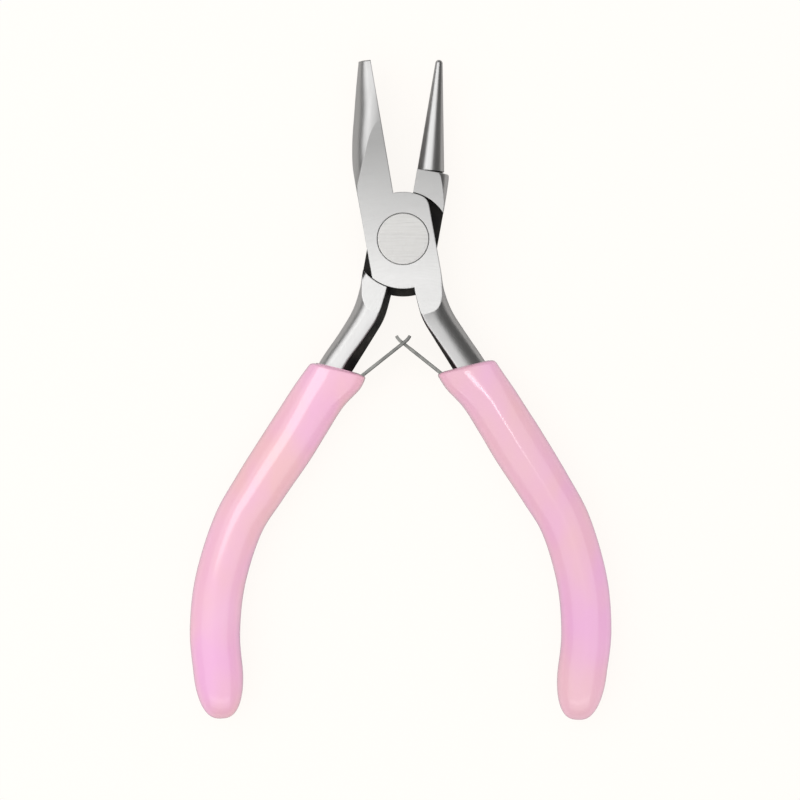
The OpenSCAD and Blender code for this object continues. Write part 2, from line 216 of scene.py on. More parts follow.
# ---------------------------------------------------------------------------------------------
# Curves and sections
# ---------------------------------------------------------------------------------------------

def spline(rows, u):
    """Catmull-Rom curve through rows, where u counts the rows and may lie between two."""
    last = len(rows) - 1
    i = min(int(math.floor(u)), last - 1)
    t = u - i
    a, b, c, d = rows[max(i - 1, 0)], rows[i], rows[i + 1], rows[min(i + 2, last)]
    return 0.5 * (2 * b + t * (c - a) + t ** 2 * (2 * a - 5 * b + 4 * c - d)
                  + t ** 3 * (3 * b - a - 3 * c + d))


def stations(rows, start, stop, count):
    """Rows at even steps along the curve."""
    return [spline(rows, u) for u in np.linspace(start, stop, count)]


def signed_power(value, exponent):
    return np.sign(value) * np.abs(value) ** exponent


def unit(vector):
    return vector / np.linalg.norm(vector)


def stood_up(section, inner, outer):
    """Section points [distance from the inner point, height] placed between two plan points."""
    d = unit(outer - inner)
    return np.column_stack([
        inner[0] + section[:, 0] * d[0],
        inner[1] + section[:, 0] * d[1],
        MID_Z + section[:, 1],
    ])


def outer_curve(width, height, roundness, count=41):
    """Half of a superellipse, from the back face round the outer side to the front face."""
    a = np.linspace(-math.pi / 2, math.pi / 2, count)
    return np.column_stack([
        width * signed_power(np.cos(a).clip(0), 2 / roundness),
        height * signed_power(np.sin(a), 2 / roundness),
    ])


def arm_section(row):
    """Handle section: rounded outside, nearly flat inside, with two bevels."""
    width, height = np.linalg.norm(row[2:4] - row[0:2]), row[4]
    crown, corner = 0.35 * width, 0.3
    outer = outer_curve(width - crown, height, row[5]) + [crown, 0]
    a = np.linspace(0, math.pi / 2, 4)
    front = np.column_stack([
        row[6] + corner * (1 - np.sin(a)), height - corner * (1 - np.cos(a)),
    ])
    back = np.column_stack([
        row[7] + corner * (1 - np.cos(a)), -height + corner * (1 - np.sin(a)),
    ])
    return np.vstack([outer, front, [[0, 0.3 * height]], back])


# Points of arm_section at which the two faces of the nearly flat inner side start
ARM_FLAT_POINTS = range(44, 46)


def arm_ring(row):
    return stood_up(arm_section(row), row[0:2], row[2:4])


def inner_face_x(y):
    """The inner face of a jaw leans, so that the tips meet first."""
    return -ROOT_GAP + (ROOT_GAP - TIP_GAP) * (y - PLATE_R) / (JAW_REACH - PLATE_R)


def jaw_ring(row):
    """D section with its flat on the inner face."""
    y, outer_x, height, roundness, drop = row
    inner = np.array([inner_face_x(y - drop), y - drop])
    outer = np.array([outer_x, y])
    return stood_up(outer_curve(inner[0] - outer_x, height, roundness), inner, outer)


def bezier(a, corner, b, count=7):
    """Rounds a corner with a quadratic curve from a to b."""
    t = np.linspace(0, 1, count)[:, None]
    return (1 - t) ** 2 * a + 2 * t * (1 - t) * corner + t ** 2 * b


def arc(radius, start, stop, count=60):
    """Plan points on an arc about the pivot."""
    a = np.linspace(start, stop, count)
    return np.column_stack([radius * np.cos(a), radius * np.sin(a)])


# ---------------------------------------------------------------------------------------------
# Meshes
# ---------------------------------------------------------------------------------------------

def mesh_object(name, points, faces, materials, slots=None):
    """New object in millimetres. slots gives the material of each face."""
    mesh = bpy.data.meshes.new(name)
    mesh.from_pydata([tuple(p) for p in points], [], faces)
    for material in materials:
        mesh.materials.append(material)
    if slots is not None:
        mesh.polygons.foreach_set("material_index", slots)
    mesh.update()
    thing = bpy.data.objects.new(name, mesh)
    bpy.context.scene.collection.objects.link(thing)
    return thing


def loft(name, rings, materials, slot_of=lambda i, k: 0):
    """Closed solid through rings of equal size. slot_of gives the material of the faces between
    rings i and i + 1 and between points k and k + 1."""
    n = len(rings[0])
    faces, slots = [list(range(n - 1, -1, -1))], [0]
    for i in range(len(rings) - 1):
        for k in range(n):
            a, b = i * n + k, i * n + (k + 1) % n
            faces.append([a, b, b + n, a + n])
            slots.append(slot_of(i, k))
    faces.append([(len(rings) - 1) * n + k for k in range(n)])
    slots.append(0)
    thing = mesh_object(name, np.vstack(rings), faces, materials, slots)
    outwards(thing)
    return thing


def outwards(thing):
    """Turns all faces outwards."""
    bm = bmesh.new()
    bm.from_mesh(thing.data)
    bmesh.ops.recalc_face_normals(bm, faces=bm.faces)
    bm.to_mesh(thing.data)
    bm.free()


def ground_flat(thing, material):
    """Cuts a closed mesh off at both ground faces and closes it there with the material."""
    thing.data.materials.append(material)
    slot = len(thing.data.materials) - 1
    bm = bmesh.new()
    bm.from_mesh(thing.data)
    for z, side in ((0, -1), (JOINT_T, 1)):
        cut = bmesh.ops.bisect_plane(
            bm, geom=bm.verts[:] + bm.edges[:] + bm.faces[:], dist=1e-5,
            plane_co=(0, 0, z), plane_no=(0, 0, side), clear_outer=True,
        )
        rim = [e for e in cut["geom_cut"] if isinstance(e, bmesh.types.BMEdge)]
        for face in bmesh.ops.edgenet_fill(bm, edges=rim)["faces"]:
            face.material_index = slot
    bmesh.ops.recalc_face_normals(bm, faces=bm.faces)
    bm.to_mesh(thing.data)
    bm.free()


def prism(name, outline, z0, z1, material):
    """Solid between two heights over a plan outline."""
    rings = [np.column_stack([outline, np.full(len(outline), z)]) for z in (z0, z1)]
    return loft(name, rings, [material])


def turned_solid(name, profile, materials, slot_of=lambda i, k: 0, segments=128):
    """Solid of revolution about the Z axis, from a profile of [radius, height] between two ends."""
    a = np.arange(segments) * 2 * math.pi / segments
    rings = [
        np.column_stack([r * np.cos(a), r * np.sin(a), np.full(segments, z)]) for r, z in profile
    ]
    return loft(name, rings, materials, slot_of)


def combined(base, *steps):
    """Applies boolean steps (operation, other) to base and removes the others."""
    for operation, other in steps:
        modifier = base.modifiers.new(operation, "BOOLEAN")
        modifier.operation = operation
        modifier.object = other
        modifier.solver = "EXACT"
        modifier.material_mode = "TRANSFER"
    applied(base)
    for _, other in steps:
        bpy.data.objects.remove(other)
    return base


def applied(thing):
    """Makes the result of the modifiers the mesh."""
    graph = bpy.context.evaluated_depsgraph_get()
    result = bpy.data.meshes.new_from_object(thing.evaluated_get(graph))
    thing.modifiers.clear()
    thing.data = result
    return thing


def softened(thing, width, segments=2, angle=32):
    """Small bevel on every edge sharper than the angle."""
    modifier = thing.modifiers.new("edges", "BEVEL")
    modifier.width = width
    modifier.segments = segments
    modifier.limit_method = "ANGLE"
    modifier.angle_limit = math.radians(angle)
    modifier.use_clamp_overlap = True
    modifier.miter_outer = "MITER_ARC"
    return applied(thing)


def smooth_but_sharp(thing, angle=25):
    """Smooth shading, except across sharp edges and wherever the material changes."""
    mesh = thing.data
    mesh.shade_smooth()
    mesh.set_sharp_from_angle(angle=math.radians(angle))
    bm = bmesh.new()
    bm.from_mesh(mesh)
    for edge in bm.edges:
        if len({face.material_index for face in edge.link_faces}) > 1:
            edge.smooth = False
    bm.to_mesh(mesh)
    bm.free()
    modifier = thing.modifiers.new("normals", "WEIGHTED_NORMAL")
    modifier.keep_sharp = True
    return applied(thing)


def place(thing, matrix):
    """Stores the mesh in metres in the frame of the model."""
    thing.data.transform(Matrix.Scale(MM, 4) @ matrix)
    if matrix.is_negative:
        thing.data.flip_normals()
    return thing


FRONT_PLACE = Matrix.Rotation(HALF_OPEN, 4, "Z")
BACK_PLACE = (
    Matrix.Rotation(-HALF_OPEN, 4, "Z")
    @ Matrix.Translation((0, 0, JOINT_T))
    @ Matrix.Rotation(math.pi, 4, "Y")
)


# ---------------------------------------------------------------------------------------------
# Materials
# ---------------------------------------------------------------------------------------------

WORN_EDGE = 0.25 * MM


class Nodes:
    """A short way to write a node tree."""

    def __init__(self, name):
        self.material = bpy.data.materials.new(name)
        self.material.use_nodes = True
        self.tree = self.material.node_tree
        self.shader = self.tree.nodes["Principled BSDF"]

    def add(self, kind, inputs=None, **settings):
        made = self.tree.nodes.new(kind)
        for key, value in settings.items():
            setattr(made, key, value)
        for key, value in (inputs or {}).items():
            self.feed(made.inputs[key], value)
        return made

    def feed(self, socket, value):
        if hasattr(value, "is_output"):
            self.tree.links.new(value, socket)
        else:
            socket.default_value = value

    def set(self, **values):
        """Sets or links sockets of the shader, with _ for a space in their names."""
        for key, value in values.items():
            self.feed(self.shader.inputs[key.replace("_", " ")], value)

    def position(self):
        """Place on the piece, in millimetres."""
        place_on_piece = self.add("ShaderNodeTexCoord").outputs["Object"]
        return self.add(
            "ShaderNodeVectorMath", {0: place_on_piece, "Scale": 1 / MM}, operation="SCALE"
        ).outputs[0]

    def stretched(self, vector, scale):
        return self.add(
            "ShaderNodeVectorMath", {0: vector, 1: scale}, operation="MULTIPLY"
        ).outputs[0]

    def noise(self, vector, scale=1.0, detail=3.0, roughness=0.55):
        return self.add(
            "ShaderNodeTexNoise",
            {"Vector": vector, "Scale": scale, "Detail": detail, "Roughness": roughness},
        ).outputs["Fac"]

    def span(self, value, low, high, to_low=0.0, to_high=1.0):
        return self.add(
            "ShaderNodeMapRange",
            {"Value": value, "From Min": low, "From Max": high,
             "To Min": to_low, "To Max": to_high},
        ).outputs["Result"]

    def sum(self, *values):
        total = values[0]
        for value in values[1:]:
            total = self.add("ShaderNodeMath", {0: total, 1: value}, operation="ADD").outputs[0]
        return total

    def blend(self, fac, a, b):
        made = self.add("ShaderNodeMix", data_type="RGBA")
        self.feed(made.inputs["Factor"], fac)
        for socket, value in ((made.inputs[6], a), (made.inputs[7], b)):
            if isinstance(value, tuple):
                value = (*value, 1.0)
            self.feed(socket, value)
        return made.outputs[2]

    def bump(self, height, strength, distance, worn=0.0):
        """Bumps, on top of edges that are worn round to a radius."""
        made = self.add(
            "ShaderNodeBump", {"Height": height, "Strength": strength, "Distance": distance}
        )
        if worn:
            rounded = self.add("ShaderNodeBevel", {"Radius": worn})
            self.feed(made.inputs["Normal"], rounded.outputs["Normal"])
        return made.outputs["Normal"]


def polar_marks(n, centre):
    """Coordinates whose X is the distance from a plan point and whose Y runs round it."""
    parts = n.add("ShaderNodeSeparateXYZ", {0: n.add(
        "ShaderNodeVectorMath", {0: n.position(), 1: (*centre, 0)}, operation="SUBTRACT"
    ).outputs[0]})
    x, y = parts.outputs["X"], parts.outputs["Y"]
    squares = [
        n.add("ShaderNodeMath", {0: v, 1: v}, operation="MULTIPLY").outputs[0] for v in (x, y)
    ]
    radius = n.add("ShaderNodeMath", {0: n.sum(*squares)}, operation="SQRT").outputs[0]
    angle = n.add("ShaderNodeMath", {0: y, 1: x}, operation="ARCTAN2").outputs[0]
    return n.add("ShaderNodeCombineXYZ", {0: radius, 1: angle}).outputs[0]


def brushed_steel(name, marks, scale, colour, roughness, spread, depth, contrast, painted_shade=None):
    """Steel with grinding marks. marks gives the coordinates that the marks are drawn in, and
    scale how dense they are along each. spread is how much they change the roughness, depth how
    deep they look, and contrast the share of the colour that they leave. The last argument says
    where shade is painted into the colour: a direction, how far along it the painted shade starts
    and ends, and the share of the colour that is left there."""
    n = Nodes(name)
    fine = n.noise(n.stretched(marks(n), scale), detail=4.0, roughness=0.65)
    coarse = n.noise(n.stretched(marks(n), tuple(0.4 * s for s in scale)), detail=3.0)
    cloud = n.noise(n.position(), scale=0.22, detail=2.0)
    marked = n.blend(n.span(fine, 0.38, 0.62), tuple(contrast * c for c in colour), colour)
    worn = n.blend(n.span(coarse, 0.4, 0.6, 0.0, 0.5), marked, tuple(0.95 * c for c in colour))
    base = n.blend(n.span(cloud, 0.3, 0.7, 0.0, 0.5), worn, tuple(0.92 * c for c in colour))
    # Painted shade: the colour darkens along a direction, down to the given share.
    if painted_shade:
        direction, start, stop, share = painted_shade
        along = n.add(
            "ShaderNodeVectorMath", {0: n.position(), 1: direction}, operation="DOT_PRODUCT"
        ).outputs["Value"]
        base = n.blend(n.span(along, start, stop), base, tuple(share * c for c in colour))
    n.set(
        Base_Color=base,
        Metallic=1.0,
        Roughness=n.span(fine, 0.3, 0.7, roughness - spread, roughness + spread),
        Normal=n.bump(fine, 0.5, depth, WORN_EDGE),
    )
    return n.material


def black_oxide_and_shade():
    """Blued, unground forging skin: nearly black, with a brown cast where it is thin. It is also the
    painted shade in the groove round the round jaw's root.
    """
    n = Nodes("black_oxide_and_shade")
    grain = n.noise(n.position(), scale=2.2, detail=5.0, roughness=0.7)
    patch = n.noise(n.position(), scale=0.35, detail=3.0)
    n.set(
        Base_Color=n.blend(n.span(patch, 0.35, 0.7), (0.011, 0.011, 0.011), (0.036, 0.032, 0.027)),
        Metallic=0.0,
        Roughness=n.span(grain, 0.3, 0.7, 0.45, 0.65),
        Specular_IOR_Level=0.2,
        Normal=n.bump(grain, 0.4, 0.00004),
    )
    return n.material


def spring_steel():
    """Grey strip with rolling marks along it and cloudy darker patches."""
    n = Nodes("spring_steel")
    rolled = n.noise(n.stretched(n.position(), (1.2, 1.2, 9.0)), detail=3.0)
    cloud = n.noise(n.position(), scale=0.5, detail=2.0)
    n.set(
        Base_Color=n.blend(n.span(cloud, 0.35, 0.65), (0.39, 0.39, 0.37), (0.27, 0.27, 0.26)),
        Metallic=1.0,
        Roughness=n.span(rolled, 0.3, 0.7, 0.3, 0.44),
        Normal=n.bump(rolled, 0.3, 0.00002),
    )
    return n.material


def pearl_vinyl():
    """Dipped vinyl: rose near the mouth and on the inner side, turning lilac outwards and down the
    handle and rosier again at its end, with pearly mottling under a glossy skin."""
    n = Nodes("pearl_vinyl")
    across = n.add("ShaderNodeAttribute", attribute_name="across").outputs["Fac"]
    y = n.add("ShaderNodeSeparateXYZ", {0: n.position()}).outputs["Y"]
    drift = n.noise(n.stretched(n.position(), (0.09, 0.045, 0.09)), detail=2.0)
    cloud = n.noise(n.position(), scale=0.06, detail=1.0)
    skin = n.noise(n.position(), scale=0.9, detail=2.0)
    lilac = n.sum(
        n.span(across, 0, 1, 0, 0.35), n.span(y, -35, -70, 0, 0.5), n.span(y, -78, -90, 0, -0.3),
        n.span(drift, 0.3, 0.7, -0.55, 0.55),
    )
    base = n.blend(lilac, (0.635, 0.36, 0.39), (0.625, 0.305, 0.51))
    n.set(
        Base_Color=n.blend(n.span(cloud, 0.35, 0.7, 0.0, 0.4), base, (0.655, 0.39, 0.50)),
        Roughness=n.span(cloud, 0.3, 0.7, 0.3, 0.38),
        Specular_IOR_Level=0.5,
        Sheen_Weight=0.25,
        Sheen_Roughness=0.35,
        Sheen_Tint=(1.0, 0.8, 0.9, 1),
        Coat_Weight=1.0,
        Coat_IOR=1.7,
        Coat_Roughness=0.11,
        Normal=n.bump(skin, 0.03, 0.0001),
    )
    return n.material


def floor_paper():
    """White paper lit through from below. The steel reflects it as the dim grey of a studio."""
    n = Nodes("floor_paper")
    tooth = n.noise(n.position(), scale=1.5, detail=4.0)
    n.set(
        Base_Color=n.blend(n.span(tooth, 0.3, 0.7), (0.068, 0.0675, 0.066), (0.072, 0.0715, 0.07)),
        Roughness=0.9,
        Specular_IOR_Level=0.0,
        Emission_Color=(1.0, 0.97, 0.935, 1),
        Emission_Strength=0.93,
    )
    dim = n.add("ShaderNodeBsdfDiffuse", {"Color": (0.34, 0.335, 0.33, 1)})
    path = n.add("ShaderNodeLightPath")
    mix = n.add("ShaderNodeMixShader", {
        0: path.outputs["Is Glossy Ray"], 1: n.shader.outputs[0], 2: dim.outputs[0],
    })
    n.tree.links.new(mix.outputs[0], n.tree.nodes["Material Output"].inputs["Surface"])
    return n.material


# The ground faces have marks in wide arcs, each half about a centre of its own, and painted shade
# that darkens them towards the jaws. The flat jaw has painted shade that darkens it towards its
# inner face and its root.
GROUND = {
    "scale": (2.6, 4.0, 0.0), "colour": (0.95, 0.945, 0.935), "roughness": 0.34, "spread": 0.06,
    "depth": 0.00003, "contrast": 0.9, "painted_shade": ((0, 1, 0), -7, 18, 0.48),
}
POLISHED = {
    "scale": (4.0, 0.15, 4.0), "colour": (0.77, 0.765, 0.76), "roughness": 0.33, "spread": 0.03,
    "depth": 0.000001, "contrast": 0.96,
}
PLATE_STEEL = brushed_steel("plate_steel", lambda n: polar_marks(n, (3.0, -28.0)), **GROUND)
BACK_STEEL = brushed_steel("back_steel", lambda n: polar_marks(n, (14.0, -24.0)), **GROUND)
RIVET_STEEL = brushed_steel(
    "rivet_steel", Nodes.position, scale=(0.16, 3.2, 0.5), colour=(0.86, 0.85, 0.83),
    roughness=0.36, spread=0.06, depth=0.00004, contrast=0.79,
)
POLISHED_STEEL = brushed_steel("polished_steel", Nodes.position, **POLISHED)
JAW_STEEL = brushed_steel(
    "jaw_steel", Nodes.position, **POLISHED, painted_shade=((0.98, -0.2, 0), -11.3, -9.2, 0.58)
)
BLACK_OXIDE_AND_SHADE = black_oxide_and_shade()
SPRING_STEEL = spring_steel()
PEARL_VINYL = pearl_vinyl()


# ---------------------------------------------------------------------------------------------
# Steel halves
# ---------------------------------------------------------------------------------------------

def plate_outline(jaw_side, arm_side, heel_r):
    """Two arcs between the two edges of the blank, with a rounded corner beside the other jaw."""
    corner_angle = math.acos(arm_side / PLATE_R)
    corner = PLATE_R * np.array([math.cos(corner_angle), math.sin(corner_angle)])
    jaw_angles = [math.acos(jaw_side / radius) for radius in (PLATE_R, heel_r)]
    arm_angle = math.acos(arm_side / heel_r)
    upper = arc(PLATE_R, corner_angle + PLATE_CORNER / PLATE_R, math.pi - jaw_angles[0])
    lower = arc(heel_r, math.pi + jaw_angles[1], 2 * math.pi - arm_angle)
    rounded = bezier(corner - [0, PLATE_CORNER], corner, upper[0])
    return np.vstack([rounded[:-1], upper, lower])


def lap_room_outline(heel_r):
    """Room for the other half's plate, with clearance all round."""
    return np.vstack([
        arc(PLATE_R + SHOULDER_GAP, 0, math.pi, 90),
        arc(heel_r + SHOULDER_GAP, math.pi, 2 * math.pi, 90),
    ])


def blank(name, stock, jaw_side, arm_side, heel_r, other_heel_r, ground):
    """One half in the blank's position: jaw stock and handle, cleared for the other plate, joined
    to its own lap plate and ground flat on both faces."""
    rows = handle_rows(arm_side)
    arm = loft(
        "arm",
        [arm_ring(row) for row in stations(rows, 0, len(rows) - 1 - TANG_END, 120)],
        [POLISHED_STEEL, BLACK_OXIDE_AND_SHADE],
        lambda i, k: 1 if k in ARM_FLAT_POINTS else 0,
    )
    below, above, overlap = -9, 2 * JOINT_T, 0.01
    room = prism("room", lap_room_outline(other_heel_r), below, LAP_Z + overlap, BLACK_OXIDE_AND_SHADE)
    outline = plate_outline(jaw_side, arm_side, heel_r)
    plate = prism("plate", outline, LAP_Z, above, BLACK_OXIDE_AND_SHADE)
    half = combined(stock, ("UNION", arm), ("DIFFERENCE", room), ("UNION", plate))
    ground_flat(half, ground)
    half.name = half.data.name = name
    return half


def jaw_stock(name, rows, count, material):
    """Jaw or collar, through all of its rows."""
    rings = [jaw_ring(row) for row in stations(rows, 0, len(rows) - 1, count)]
    return loft(name, rings, [material])


def finished_half(half, seat_profile, matrix, body, node):
    """Cuts the rivet's seat and puts the half in its place."""
    combined(half, ("DIFFERENCE", turned_solid("seat", seat_profile, [BLACK_OXIDE_AND_SHADE])))
    softened(half, STEEL_EDGE)
    smooth_but_sharp(half)
    place(half, matrix)
    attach(half, body)
    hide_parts(node)


def front_half():
    """Flat jaw, front plate and right handle, with the seat of the rivet's head."""
    jaw = jaw_stock("jaw", FLAT_JAW_ROWS, 110, JAW_STEEL)
    half = blank("front_half_steel", jaw, FLAT_JAW_SIDE, FRONT_ARM_SIDE, FRONT_HEEL_R, BACK_HEEL_R,
                 PLATE_STEEL)
    seat_r = HEAD_R + RIVET_GROOVE
    seat_profile = [
        (SHANK_R, -1), (SHANK_R, JOINT_T - HEAD_T), (seat_r, JOINT_T - HEAD_T),
        (seat_r, JOINT_T + 1),
    ]
    finished_half(half, seat_profile, FRONT_PLACE, "front", "front_half")


def round_jaw():
    """Tapered round jaw with a domed tip and a groove round its root, coloured black as painted
    shade.
    """
    base = np.array([inner_face_x(COLLAR_Y) - ROUND_R, COLLAR_Y, MID_Z])
    tip = np.array([-TIP_GAP - ROUND_TIP_R, JAW_REACH - ROUND_TIP_R, MID_Z])
    axis = tip - base
    length = np.linalg.norm(axis)
    groove, sunk, edge = 0.3, 2.0, 0.04
    profile = [(ROUND_R - groove, -sunk), (ROUND_R - groove, groove), (ROUND_R - edge, groove)]
    for t in np.linspace((groove + edge) / length, 1, 40):
        profile.append((ROUND_R + (ROUND_TIP_R - ROUND_R) * t, length * t))
    for a in np.radians([15, 30, 45, 60, 72, 82]):
        profile.append((ROUND_TIP_R * math.cos(a), length + ROUND_TIP_R * math.sin(a)))
    # The groove's two rings of faces take the black oxide: painted shade, a dark line in the step at
    # the jaw's root.
    jaw = turned_solid(
        "round_jaw", profile, [POLISHED_STEEL, BLACK_OXIDE_AND_SHADE], lambda i, k: 1 if i < 2 else 0
    )
    turn = Vector((0, 0, 1)).rotation_difference(Vector(axis)).to_matrix().to_4x4()
    jaw.data.transform(Matrix.Translation(base) @ turn)
    return jaw


def back_half():
    """Round jaw on its collar, back plate and left handle, with room for the rivet to turn in."""
    collar = jaw_stock("collar", COLLAR_ROWS, 40, POLISHED_STEEL)
    jaw = combined(collar, ("UNION", round_jaw()))
    half = blank("back_half_steel", jaw, ROUND_JAW_SIDE, BACK_ARM_SIDE, BACK_HEEL_R, FRONT_HEEL_R,
                 BACK_STEEL)
    bore_r, seat_r = SHANK_R + RIVET_GROOVE, TAIL_R + RIVET_GROOVE
    seat_profile = [
        (bore_r, -1), (bore_r, JOINT_T - TAIL_T), (seat_r, JOINT_T), (seat_r, JOINT_T + 1),
    ]
    finished_half(half, seat_profile, BACK_PLACE, "back", "back_half")


def pivot_rivet():
    """Flush rivet with a large head in front and a flared tail behind, both with broken edges."""
    edge, middle = RIVET_EDGE, 0.02
    rivet = turned_solid("pivot_rivet_steel", [
        (middle, 0), (TAIL_R - 2 * edge, 0), (TAIL_R - edge, edge), (SHANK_R, TAIL_T),
        (SHANK_R, JOINT_T - HEAD_T), (HEAD_R, JOINT_T - HEAD_T), (HEAD_R, JOINT_T - edge),
        (HEAD_R - edge, JOINT_T), (middle, JOINT_T),
    ], [RIVET_STEEL])
    smooth_but_sharp(rivet)
    place(rivet, FRONT_PLACE)
    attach(rivet, "front")
    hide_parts("pivot_rivet")


# ---------------------------------------------------------------------------------------------
# Leaf springs
# ---------------------------------------------------------------------------------------------


def blade_direction():
    """Direction of a blade in the blank's position when the tool is open."""
    bend = Matrix.Rotation(HALF_OPEN, 2) @ Vector(BEND_LINE)
    elevation = math.acos(bend.x / LEAF_REACH)
    return math.pi - elevation - HALF_OPEN


def spring_path():
    """Middle line of a spring: up the handle, round its bend, across to the crossing and curled."""
    up_foot = np.array([math.cos(FOOT_ANGLE), math.sin(FOOT_ANGLE)])
    angle = blade_direction()
    along = np.array([math.cos(angle), math.sin(angle)])
    foot_end = FOOT_BEND - FOOT_L * up_foot
    ease = 0.8
    points = [foot_end + t * up_foot for t in np.linspace(0, FOOT_L - ease, 8)]
    points += list(bezier(FOOT_BEND - ease * up_foot, FOOT_BEND, FOOT_BEND + ease * along)[1:])
    start = points[-1]
    curl_at = BEND_LINE + along * (LEAF_REACH + LEAF_PAST - CURL_R * CURL)
    points += [start + (curl_at - start) * t for t in np.linspace(0, 1, 70)[1:]]
    for turn in np.linspace(0, CURL, 12)[1:]:
        side = np.array([math.sin(angle), -math.cos(angle)])
        points.append(curl_at + CURL_R * (math.sin(turn) * along + (1 - math.cos(turn)) * side))
    return np.array(points), along


def strip_ring(point, normal):
    """Rectangular section of the strip with rounded edges."""
    half_t, half_w, r = LEAF_T / 2, LEAF_W / 2, 0.1
    corners = []
    for sx, sz, start in ((1, 1, 0), (-1, 1, 90), (-1, -1, 180), (1, -1, 270)):
        for a in np.radians(start + np.array([0, 30, 60, 90])):
            corners.append((sx * (half_t - r) + r * math.cos(a), sz * (half_w - r) + r * math.sin(a)))
    return np.array([
        (point[0] + c * normal[0], point[1] + c * normal[1], MID_Z + z) for c, z in corners
    ])


def box_cutter(name, along, start, stop, z0, z1):
    """Box across a blade, from one distance past the bend to another."""
    half_length = 3
    side = half_length * np.array([-along[1], along[0]])
    near, far = BEND_LINE + along * start, BEND_LINE + along * stop
    outline = np.array([near - side, far - side, far + side, near + side])
    return prism(name, outline, MID_Z + z0, MID_Z + z1, SPRING_STEEL)


def leaf_spring(name, matrix, nodes, cutters):
    """One strip that bends at the grip's mouth, from its arm's body to its blade's."""
    path, along = spring_path()
    tangents = np.gradient(path, axis=0)
    rings = []
    for point, tangent in zip(path, tangents):
        tangent = unit(tangent)
        rings.append(strip_ring(point, (-tangent[1], tangent[0])))
    spring = loft(name, rings, [SPRING_STEEL])
    combined(spring, *[("DIFFERENCE", box_cutter("cut", along, *cut)) for cut in cutters])
    softened(spring, LEAF_EDGE, angle=50)
    smooth_but_sharp(spring, 35)
    place(spring, matrix)
    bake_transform(spring)
    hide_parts(*nodes)


def leaf_springs():
    """The right blade narrows to a tongue, and the left one has a window for it."""
    neck, end, edge = LEAF_REACH - TONGUE_NECK, 20, 5
    half_tongue = TONGUE_W / 2
    half_window = half_tongue + TONGUE_GAP
    leaf_spring(
        "leaf_spring_right", FRONT_PLACE,
        ["spring_foot_right", "spring_leaf_right"],
        [(neck, end, half_tongue, edge), (neck, end, -edge, -half_tongue)],
    )
    leaf_spring(
        "leaf_spring_left", BACK_PLACE,
        ["spring_foot_left", "spring_leaf_left"],
        [(LEAF_REACH - WINDOW_BEFORE, LEAF_REACH + WINDOW_PAST, -half_window, half_window)],
    )


def spring_rivets():
    """The springs' rivets are the CAD solids, because the vinyl hides them."""
    for node in ("spring_rivet_right", "spring_rivet_left"):
        frame["nodes"][node].data.materials.clear()
        frame["nodes"][node].data.materials.append(SPRING_STEEL)


# ---------------------------------------------------------------------------------------------
# Grips
# ---------------------------------------------------------------------------------------------

GRIP_POINTS = 96
INSIDE_CAD = 0.02

# Ridge along the middle of both faces: how far the section falls off beside it, and its share of
# the width
RIDGE = 0.5
RIDGE_WIDTH = 0.18

# Room left round the handle, and about how many millimetres lie between a grip's first two rows
CAVITY_ROOM = 0.06
MOUTH_PITCH = 3

# Rings of the mouth's face: how far out each lies from the handle to the lip, and how far it rises
MOUTH_RINGS = ((0.08, 0.12), (0.3, 0.16), (0.55, 0.16), (0.8, 0.1))

# Exponents of the cosine that rounds a grip's end: the smaller, the blunter
END_IN_PLAN = 0.75
END_IN_HEIGHT = 0.92


def grip_angles():
    return (np.arange(GRIP_POINTS) + 0.5) * 2 * math.pi / GRIP_POINTS


def polar_section(section, centre):
    """Section resampled at even angles round a centre, so that unlike sections match up."""
    closed = np.vstack([section, section[:1]]) - centre
    out = []
    for a in grip_angles():
        d = np.array([math.cos(a), math.sin(a)])
        best = 0.0
        for p, q in zip(closed[:-1], closed[1:]):
            e = q - p
            det = e[0] * d[1] - e[1] * d[0]
            if abs(det) < 1e-12:
                continue
            r = (e[0] * p[1] - e[1] * p[0]) / det
            s = (d[0] * p[1] - d[1] * p[0]) / det
            if r > 0 and -1e-9 <= s <= 1 + 1e-9:
                best = max(best, r)
        out.append(centre + best * d)
    return np.array(out)


def grip_section(width, height, roundness, inset=0.0):
    """Rounded section with a soft ridge along the middle of both faces."""
    a = grip_angles()
    inset += INSIDE_CAD
    x = (width / 2 - inset) * signed_power(np.cos(a), 2 / roundness)
    z = (height - inset) * signed_power(np.sin(a), 2 / roundness)
    z *= 1 - RIDGE / JOINT_T * (1 - np.exp(-np.abs(x) / (RIDGE_WIDTH * width)))
    return np.column_stack([width / 2 + x, z])


def grip_ring(row, inset=0.0):
    inner, outer = row[0:2], row[2:4]
    width = np.linalg.norm(outer - inner)
    return stood_up(grip_section(width, row[4], row[5], inset), inner, outer)


def cavity_ring(row, room):
    """Room for the handle, a little larger than it."""
    section = arm_section(row)
    centre = np.array([np.linalg.norm(row[2:4] - row[0:2]) / 2, 0])
    section = centre + (section - centre) * (1 + room / TANG_SECTION[0])
    return stood_up(polar_section(section, centre), row[0:2], row[2:4])


def grip_end_rings(side):
    """Rounded end: blunter in plan than in thickness."""
    last = grip_rows(side)[-1]
    end = leaning(GRIP_END, side) + [0, 3 * INSIDE_CAD]
    inner, outer = last[0:2], last[2:4]
    middle, half_width = (inner + outer) / 2, (outer - inner) / 2
    rings = []
    for a in np.radians(np.linspace(5, 88, 18)):
        centre = middle + (end - middle) * math.sin(a)
        reach = half_width * math.cos(a) ** END_IN_PLAN
        height = last[4] * math.cos(a) ** END_IN_HEIGHT
        rings.append(grip_ring(np.array([*(centre - reach), *(centre + reach), height, last[5]])))
    return rings


